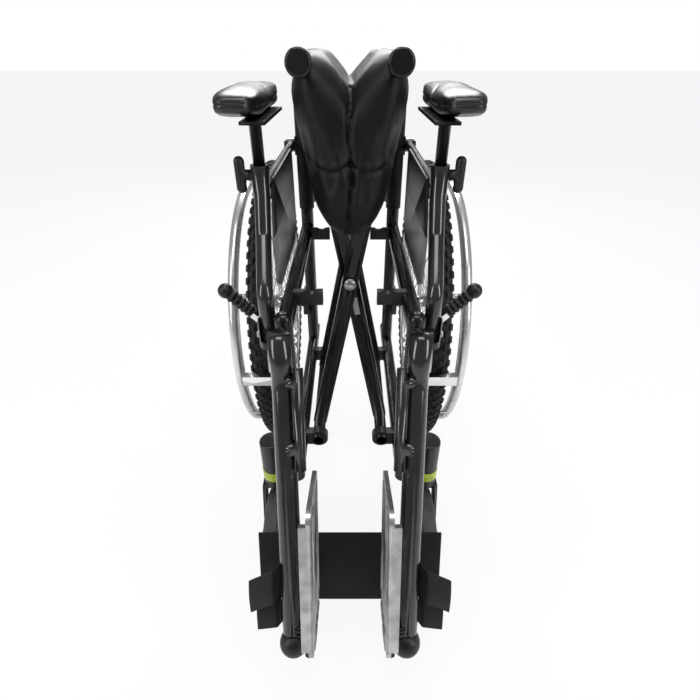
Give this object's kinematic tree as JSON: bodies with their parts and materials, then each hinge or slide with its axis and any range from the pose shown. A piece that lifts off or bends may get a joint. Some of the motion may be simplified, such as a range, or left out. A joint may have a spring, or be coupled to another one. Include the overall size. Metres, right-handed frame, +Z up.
{
  "type": "folding wheelchair",
  "caption": "Folding self-propelled wheelchair, shown folded: cross-braced side frames, large spoked wheels with push rings, casters, brakes, swing-away leg tubes and padded arms.",
  "frame": {"origin": "on the floor, under the middle of the folded chair's box", "axes": "+Z up, front towards -Y, +X to the right of a person facing the chair"},
  "size_m": [0.429, 0.9819, 0.7991],
  "materials": {
    "black_frame": "satin black paint",
    "dark_metal": "dark grey paint",
    "gunmetal": "glossy gunmetal paint",
    "steel": "zinc plated",
    "tyre": "knobbly rubber",
    "rim_silver": "satin",
    "spokes": "plated wire",
    "handrim_silver": "satin",
    "caster_fork": "satin black paint",
    "caster_tread": "smooth grey rubber",
    "chrome": "polished",
    "grip_rubber": "matt black",
    "plate_aluminium": "brushed",
    "guard_grey": "matt grey sheet",
    "pad_vinyl": "grained black vinyl",
    "black_plastic": "matt",
    "black_nylon": "satin nylon",
    "webbing": "ribbed webbing"
  },
  "bodies": {
    "left_frame": {"back_post_left": "black_frame", "side_rails_left": "black_frame", "front_upright_left": "black_frame", "caster_housing_left": "dark_metal", "frame_fittings_left": "dark_metal", "armrest_mounts_left": "black_frame", "brake_bracket_left": "black_frame"},
    "right_frame": {"back_post_right": "black_frame", "side_rails_right": "black_frame", "front_upright_right": "black_frame", "caster_housing_right": "dark_metal", "frame_fittings_right": "dark_metal", "armrest_mounts_right": "black_frame", "brake_bracket_right": "black_frame"},
    "brace_a": {"cross_brace_a": "black_frame", "pivot_bolts": "steel", "seat_rail_right": "black_frame"},
    "brace_b": {"cross_brace_b": "black_frame", "seat_rail_left": "black_frame"},
    "seat_left": {"seat_half_left": "black_nylon"},
    "back_left": {"back_half_left": "black_nylon"},
    "wheel_left": {"tyre_left": "tyre", "rim_left": "rim_silver", "hub_and_spokes_left": "spokes", "handrim_left": "handrim_silver"},
    "caster_left": {"caster_fork_left": "caster_fork"},
    "caster_roll_left": {"caster_wheel_left": "caster_tread"},
    "brake_left": {"brake_lever_left": "chrome", "brake_grip_left": "grip_rubber"},
    "hanger_left": {"hanger_tube_left": "gunmetal", "hanger_plug_left": "grip_rubber", "footplate_hinge_left": "black_frame", "calf_strap_long": "webbing"},
    "foot_left": {"footplate_left": "plate_aluminium"},
    "armrest_left": {"armrest_frame_left": "gunmetal", "skirt_guard_left": "guard_grey"},
    "pad_left": {"pad_post_left": "black_frame", "arm_pad_left": "pad_vinyl"},
    "knob_left": {"arm_knob_left": "black_plastic"},
    "seat_right": {"seat_half_right": "black_nylon"},
    "back_right": {"back_half_right": "black_nylon"},
    "wheel_right": {"tyre_right": "tyre", "rim_right": "rim_silver", "hub_and_spokes_right": "spokes", "handrim_right": "handrim_silver"},
    "caster_right": {"caster_fork_right": "caster_fork"},
    "caster_roll_right": {"caster_wheel_right": "caster_tread"},
    "brake_right": {"brake_lever_right": "chrome", "brake_grip_right": "grip_rubber"},
    "hanger_right": {"hanger_tube_right": "gunmetal", "hanger_plug_right": "grip_rubber", "footplate_hinge_right": "black_frame", "calf_strap_short": "webbing"},
    "foot_right": {"footplate_right": "plate_aluminium"},
    "armrest_right": {"armrest_frame_right": "gunmetal", "skirt_guard_right": "guard_grey"},
    "pad_right": {"pad_post_right": "black_frame", "arm_pad_right": "pad_vinyl"},
    "knob_right": {"arm_knob_right": "black_plastic"}
  },
  "joints": [
    {"name": "fold", "type": "hinge", "parent": "left_frame", "child": "brace_a", "pos_m": [-0.0581, 0.18596, 0.195], "axis": [0, 1, 0], "range_deg": [0, 47.99]},
    {"name": "scissor", "type": "hinge", "parent": "brace_a", "child": "brace_b", "pos_m": [0, 0.18596, 0.48932], "axis": [0, 1, 0], "range_deg": [-96.19, 0]},
    {"name": "right_fold", "type": "hinge", "parent": "brace_b", "child": "right_frame", "pos_m": [0.0581, 0.18596, 0.195], "axis": [0, 1, 0], "range_deg": [0, 48.09]},
    {"name": "seat_fold_left", "type": "hinge", "parent": "brace_b", "child": "seat_left", "pos_m": [-0.0581, 0.18596, 0.78364], "axis": [0, 1, 0], "range_deg": [-26.1, 0]},
    {"name": "back_fold_left", "type": "hinge", "parent": "left_frame", "child": "back_left", "pos_m": [-0.09, 0.19796, 0], "axis": [0, 0, 1], "range_deg": [-60.1, 0]},
    {"name": "wheel_roll_left", "type": "hinge", "parent": "left_frame", "child": "wheel_left", "pos_m": [-0.16, 0.18596, 0.305], "axis": [1, 0, 0], "continuous": true},
    {"name": "caster_swivel_left", "type": "hinge", "parent": "left_frame", "child": "caster_left", "pos_m": [-0.126, -0.23404, 0.182], "axis": [0, 0, 1], "continuous": true},
    {"name": "caster_roll_left", "type": "hinge", "parent": "caster_left", "child": "caster_roll_left", "pos_m": [-0.126, -0.27204, 0.085], "axis": [1, 0, 0], "continuous": true},
    {"name": "brake_left", "type": "hinge", "parent": "left_frame", "child": "brake_left", "pos_m": [-0.11, -0.14904, 0.408], "axis": [1, 0, 0], "range_deg": [-50, 0]},
    {"name": "hanger_swing_left", "type": "hinge", "parent": "left_frame", "child": "hanger_left", "pos_m": [-0.09, -0.24604, 0.4], "axis": [0, 0, 1], "range_deg": [-85, 0]},
    {"name": "footplate_flip_left", "type": "hinge", "parent": "hanger_left", "child": "foot_left", "pos_m": [-0.054, -0.44604, 0.122], "axis": [0, 0.9397, -0.342], "range_deg": [0, 90.1]},
    {"name": "armrest_flip_left", "type": "hinge", "parent": "left_frame", "child": "armrest_left", "pos_m": [-0.115, 0.19796, 0.64], "axis": [1, 0, 0], "range_deg": [-100, 0]},
    {"name": "pad_height_left", "type": "slide", "parent": "armrest_left", "child": "pad_left", "axis": [0, 0, 1], "range_m": [0, 0.05]},
    {"name": "knob_turn_left", "type": "hinge", "parent": "armrest_left", "child": "knob_left", "pos_m": [-0.15, -0.11404, 0.655], "axis": [1, 0, 0], "continuous": true},
    {"name": "seat_fold_right", "type": "hinge", "parent": "brace_a", "child": "seat_right", "pos_m": [0.0581, 0.18596, 0.78364], "axis": [0, 1, 0], "range_deg": [0, 26.1]},
    {"name": "back_fold_right", "type": "hinge", "parent": "right_frame", "child": "back_right", "pos_m": [0.09, 0.19796, 0], "axis": [0, 0, 1], "range_deg": [0, 60.1]},
    {"name": "wheel_roll_right", "type": "hinge", "parent": "right_frame", "child": "wheel_right", "pos_m": [0.16, 0.18596, 0.305], "axis": [1, 0, 0], "continuous": true},
    {"name": "caster_swivel_right", "type": "hinge", "parent": "right_frame", "child": "caster_right", "pos_m": [0.126, -0.23404, 0.182], "axis": [0, 0, 1], "continuous": true},
    {"name": "caster_roll_right", "type": "hinge", "parent": "caster_right", "child": "caster_roll_right", "pos_m": [0.126, -0.27204, 0.085], "axis": [1, 0, 0], "continuous": true},
    {"name": "brake_right", "type": "hinge", "parent": "right_frame", "child": "brake_right", "pos_m": [0.11, -0.14904, 0.408], "axis": [1, 0, 0], "range_deg": [-50, 0]},
    {"name": "hanger_swing_right", "type": "hinge", "parent": "right_frame", "child": "hanger_right", "pos_m": [0.09, -0.24604, 0.4], "axis": [0, 0, 1], "range_deg": [0, 85]},
    {"name": "footplate_flip_right", "type": "hinge", "parent": "hanger_right", "child": "foot_right", "pos_m": [0.054, -0.44604, 0.122], "axis": [0, 0.9397, -0.342], "range_deg": [-90.1, 0]},
    {"name": "armrest_flip_right", "type": "hinge", "parent": "right_frame", "child": "armrest_right", "pos_m": [0.115, 0.19796, 0.64], "axis": [1, 0, 0], "range_deg": [-100, 0]},
    {"name": "pad_height_right", "type": "slide", "parent": "armrest_right", "child": "pad_right", "axis": [0, 0, 1], "range_m": [0, 0.05]},
    {"name": "knob_turn_right", "type": "hinge", "parent": "armrest_right", "child": "knob_right", "pos_m": [0.15, -0.11404, 0.655], "axis": [1, 0, 0], "continuous": true}
  ],
  "couplings": [
    {"joint": "scissor", "follows": "fold", "ratio": -2},
    {"joint": "right_fold", "follows": "fold", "ratio": 1},
    {"joint": "seat_fold_left", "follows": "fold", "ratio": -0.54174},
    {"joint": "back_fold_left", "follows": "fold", "ratio": -1.2502},
    {"joint": "footplate_flip_left", "follows": "fold", "ratio": 1.8753},
    {"joint": "seat_fold_right", "follows": "fold", "ratio": 0.54174},
    {"joint": "back_fold_right", "follows": "fold", "ratio": 1.2502},
    {"joint": "footplate_flip_right", "follows": "fold", "ratio": -1.8753}
  ]
}
